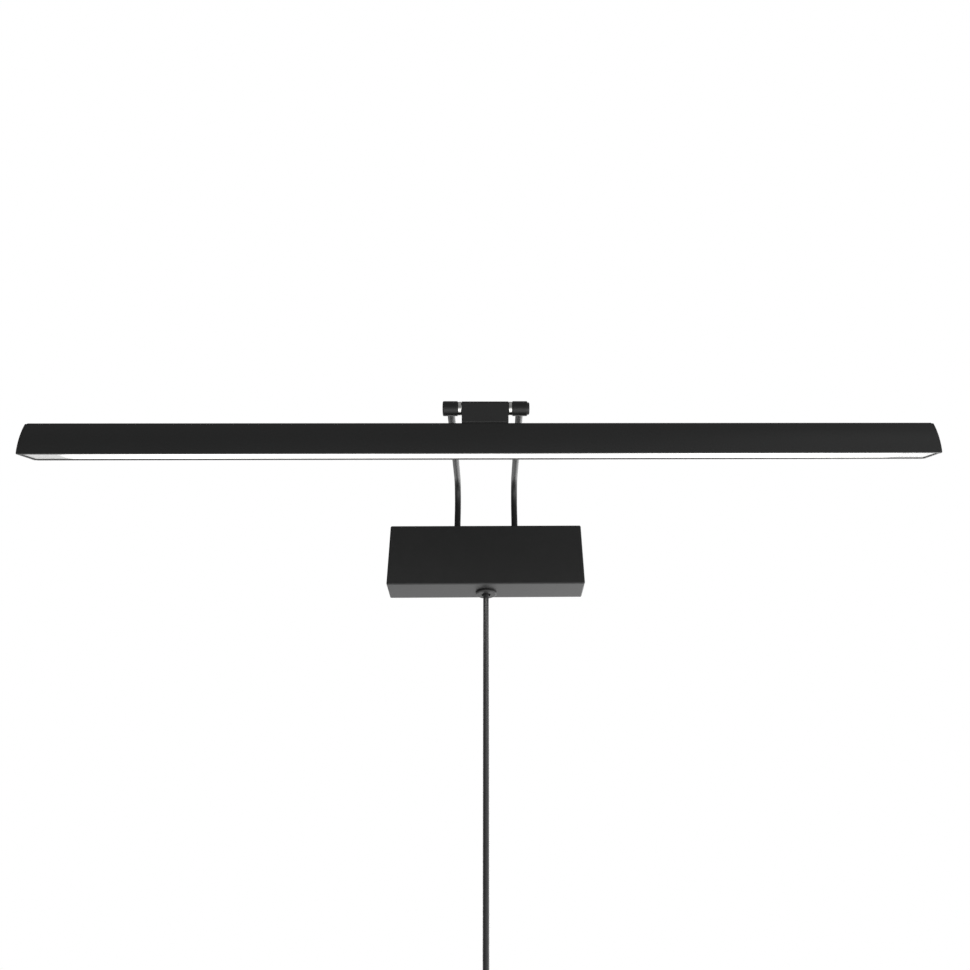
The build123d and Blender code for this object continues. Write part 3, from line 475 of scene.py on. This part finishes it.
def strap_path(half, corner):
    """One trip round the bundle of turns and a little further: place across and along the
    coil's axis, and distance travelled, from the middle of the outer face."""
    inner = half - corner
    centres = [(inner, inner), (-inner, inner), (-inner, -inner), (inner, -inner)]
    points = [(half, 0.0)]
    for number, (x, y) in enumerate(centres):
        for step in range(STRAP_CORNER_STEPS + 1):
            angle = math.pi / 2 * (number + step / STRAP_CORNER_STEPS)
            points.append((x + corner * math.cos(angle), y + corner * math.sin(angle)))
    points += [(half, -inner * 0.5), (half, 0.0), (half, inner * 0.55), (half, inner)]
    for step in range(1, 4):
        angle = math.pi / 2 * step / STRAP_CORNER_STEPS
        points.append((inner + corner * math.cos(angle), inner + corner * math.sin(angle)))
    travelled = [0.0]
    for before, after in zip(points, points[1:]):
        travelled.append(travelled[-1] + math.dist(before, after))
    return list(zip(points, travelled))


def make_strap():
    """Hook-and-loop strap: a band round the turns whose free end lies over its start."""
    low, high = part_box("coil_tie")
    middle = (low + high) / 2
    centre = Vector((0, middle.y, COIL_CENTRE_Z))
    direction = math.atan2(middle.z - centre.z, middle.x - centre.x)
    half = (high.y - low.y) / 2 - STRAP_THICKNESS
    path = strap_path(half, CORD_DIAMETER / 2 + STRAP_CLEARANCE)
    once = path[-1][1] - STRAP_OVERLAP
    width = math.radians(STRAP_SWEEP)
    mesh = bpy.data.meshes.new("coil_strap")
    shape = bmesh.new()
    rows = []
    for (across, y), distance in path:
        lift = STRAP_LIFT * ease(distance, once - STRAP_LIFT_BEFORE, once + STRAP_LIFT_AFTER)
        grow = 1 + lift / half
        row = []
        for step in range(STRAP_WIDTH_STEPS + 1):
            turn = direction + width * (step / STRAP_WIDTH_STEPS - 0.5)
            radius = COIL_MIDDLE_RADIUS + across * grow
            place = centre + Vector((radius * math.cos(turn), y * grow, radius * math.sin(turn)))
            row.append(shape.verts.new(place))
        rows.append(row)
    for row, after in zip(rows, rows[1:]):
        for i in range(STRAP_WIDTH_STEPS):
            shape.faces.new((row[i], row[i + 1], after[i + 1], after[i]))
    bmesh.ops.recalc_face_normals(shape, faces=shape.faces)
    shape.to_mesh(mesh)
    shape.free()
    strap = bpy.data.objects.new("coil_strap", mesh)
    SCENE.collection.objects.link(strap)
    mesh.materials.append(MATERIALS["strap_fabric"])
    mesh.shade_smooth()
    solid = strap.modifiers.new("thickness", "SOLIDIFY")
    solid.thickness = STRAP_THICKNESS
    solid.offset = 0.0
    edge = strap.modifiers.new("soft_edge", "BEVEL")
    edge.width = STRAP_THICKNESS * 0.3
    edge.segments = 2
    edge.limit_method = "ANGLE"
    edge.angle_limit = math.radians(50)
    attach(strap, WALL)
    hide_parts("coil_tie")
    return strap


# ---- Stage and light ----

FLOOR_GAP = 0.02
FLOOR_RADIUS = 4.0
FLOOR_GLOW = 0.72


def see_through_from_behind(m):
    """Lets a one-sided sheet be looked through from its back."""
    mix = m.nodes.new("ShaderNodeMixShader")
    clear = m.nodes.new("ShaderNodeBsdfTransparent")
    face = m.nodes.new("ShaderNodeNewGeometry")
    m.link(face.outputs["Backfacing"], mix.inputs["Fac"])
    m.link(m.shader.outputs["BSDF"], mix.inputs[1])
    m.link(clear.outputs["BSDF"], mix.inputs[2])
    m.link(mix.outputs["Shader"], m.nodes["Material Output"].inputs["Surface"])


def make_floor():
    """Pale round floor below the plug. It is there for the camera and doesn't block light."""
    mesh = bpy.data.meshes.new("floor")
    count = 96
    height = CAD_LOW.z - FLOOR_GAP
    ring = [2 * math.pi * i / count for i in range(count)]
    rim = [(FLOOR_RADIUS * math.cos(a), FLOOR_RADIUS * math.sin(a), height) for a in ring]
    mesh.from_pydata(rim, [], [list(range(count))])
    floor = bpy.data.objects.new("floor", mesh)
    SCENE.collection.objects.link(floor)
    m = Material("floor", (0.5, 0.5, 0.5), 0.8)
    m.colour(m.blend(m.noise(3.0, 2.0), (0.49, 0.49, 0.49), (0.51, 0.51, 0.51)))
    m.shader.inputs["Emission Color"].default_value = (1, 1, 1, 1)
    m.shader.inputs["Emission Strength"].default_value = FLOOR_GLOW
    see_through_from_behind(m)
    mesh.materials.append(m.data)
    floor.visible_diffuse = False
    floor.visible_glossy = False
    floor.visible_shadow = False


# The studio's light: its level by how far a direction leans towards STUDIO_AXIS. It is
# bright below and behind the light, and dim in front and above. STUDIO_TILT makes the
# bright part stronger on the right; it fades out over the leans in STUDIO_TILT_FADE.
STUDIO_AXIS = (0, -0.5, 0.866)
STUDIO = [
    (-1.0, 1.85), (-0.8, 1.32), (-0.5, 2.3), (-0.22, 1.4),
    (0.07, 0.5), (0.3, 0.26), (0.63, 0.25), (1.0, 0.34),
]
STUDIO_TOP = 4.0
STUDIO_TILT = 0.8
STUDIO_TILT_FADE = (0.4, 0.8)


def make_world():
    """White to the camera, and the studio's light to the object."""
    world = bpy.data.worlds.new("studio")
    world.use_nodes = True
    SCENE.world = world
    nodes = world.node_tree.nodes
    links = world.node_tree.links
    nodes.clear()

    def math_node(operation, first, second, third=0.0):
        node = nodes.new("ShaderNodeMath")
        node.operation = operation
        for socket, value in zip(node.inputs, (first, second, third)):
            if isinstance(value, float):
                socket.default_value = value
            else:
                links.new(value, socket)
        return node.outputs["Value"]

    direction = nodes.new("ShaderNodeTexCoord").outputs["Generated"]
    lean = nodes.new("ShaderNodeVectorMath")
    lean.operation = "DOT_PRODUCT"
    lean.inputs[1].default_value = STUDIO_AXIS
    links.new(direction, lean.inputs[0])
    level = nodes.new("ShaderNodeFloatCurve")
    curve = level.mapping.curves[0]
    for point, (place, value) in zip(curve.points, (STUDIO[0], STUDIO[-1])):
        point.location = ((place + 1) / 2, value / STUDIO_TOP)
    for place, value in STUDIO[1:-1]:
        curve.points.new((place + 1) / 2, value / STUDIO_TOP)
    level.mapping.update()
    links.new(math_node("MULTIPLY_ADD", lean.outputs["Value"], 0.5, 0.5), level.inputs["Value"])
    split = nodes.new("ShaderNodeSeparateXYZ")
    links.new(direction, split.inputs["Vector"])
    tilt = nodes.new("ShaderNodeMapRange")
    for key, number in zip(MAP_RANGE_SOCKETS, (*STUDIO_TILT_FADE, STUDIO_TILT, 0.0)):
        tilt.inputs[key].default_value = number
    links.new(lean.outputs["Value"], tilt.inputs["Value"])
    side = math_node("MULTIPLY_ADD", split.outputs["X"], tilt.outputs["Result"], 1.0)
    strength = math_node("MULTIPLY", math_node("MULTIPLY", level.outputs["Value"], side), STUDIO_TOP)
    studio = nodes.new("ShaderNodeBackground")
    links.new(strength, studio.inputs["Strength"])
    white = nodes.new("ShaderNodeBackground")
    for background in (studio, white):
        background.inputs["Color"].default_value = (1, 1, 1, 1)
    path = nodes.new("ShaderNodeLightPath")
    mix = nodes.new("ShaderNodeMixShader")
    links.new(path.outputs["Is Camera Ray"], mix.inputs["Fac"])
    links.new(studio.outputs["Background"], mix.inputs[1])
    links.new(white.outputs["Background"], mix.inputs[2])
    output = nodes.new("ShaderNodeOutputWorld")
    links.new(mix.outputs["Shader"], output.inputs["Surface"])


# Name, place, target, diameter and power of each soft light.
LIGHTS = [
    ("right_front", (1.19, -1.8, 0.62), (0, -0.1, -0.1), 0.55, 1.2),
    ("back_soft", (0.9, 1.3, 0.8), (0, -0.1, 0), 1.2, 4.0),
]


def area_light(name, place, target, size, power):
    data = bpy.data.lights.new(name, "AREA")
    data.shape = "DISK"
    data.size = size
    data.energy = power
    light = bpy.data.objects.new(name, data)
    light.location = place
    light.rotation_euler = (Vector(target) - Vector(place)).to_track_quat("-Z", "Y").to_euler()
    light.visible_camera = False
    SCENE.collection.objects.link(light)


def make_lights():
    for light in LIGHTS:
        area_light(*light)


make_camera()
SCENE.view_settings.view_transform = "Standard"
finish_cad_nodes()
make_cord(make_strap())
make_floor()
make_world()
make_lights()
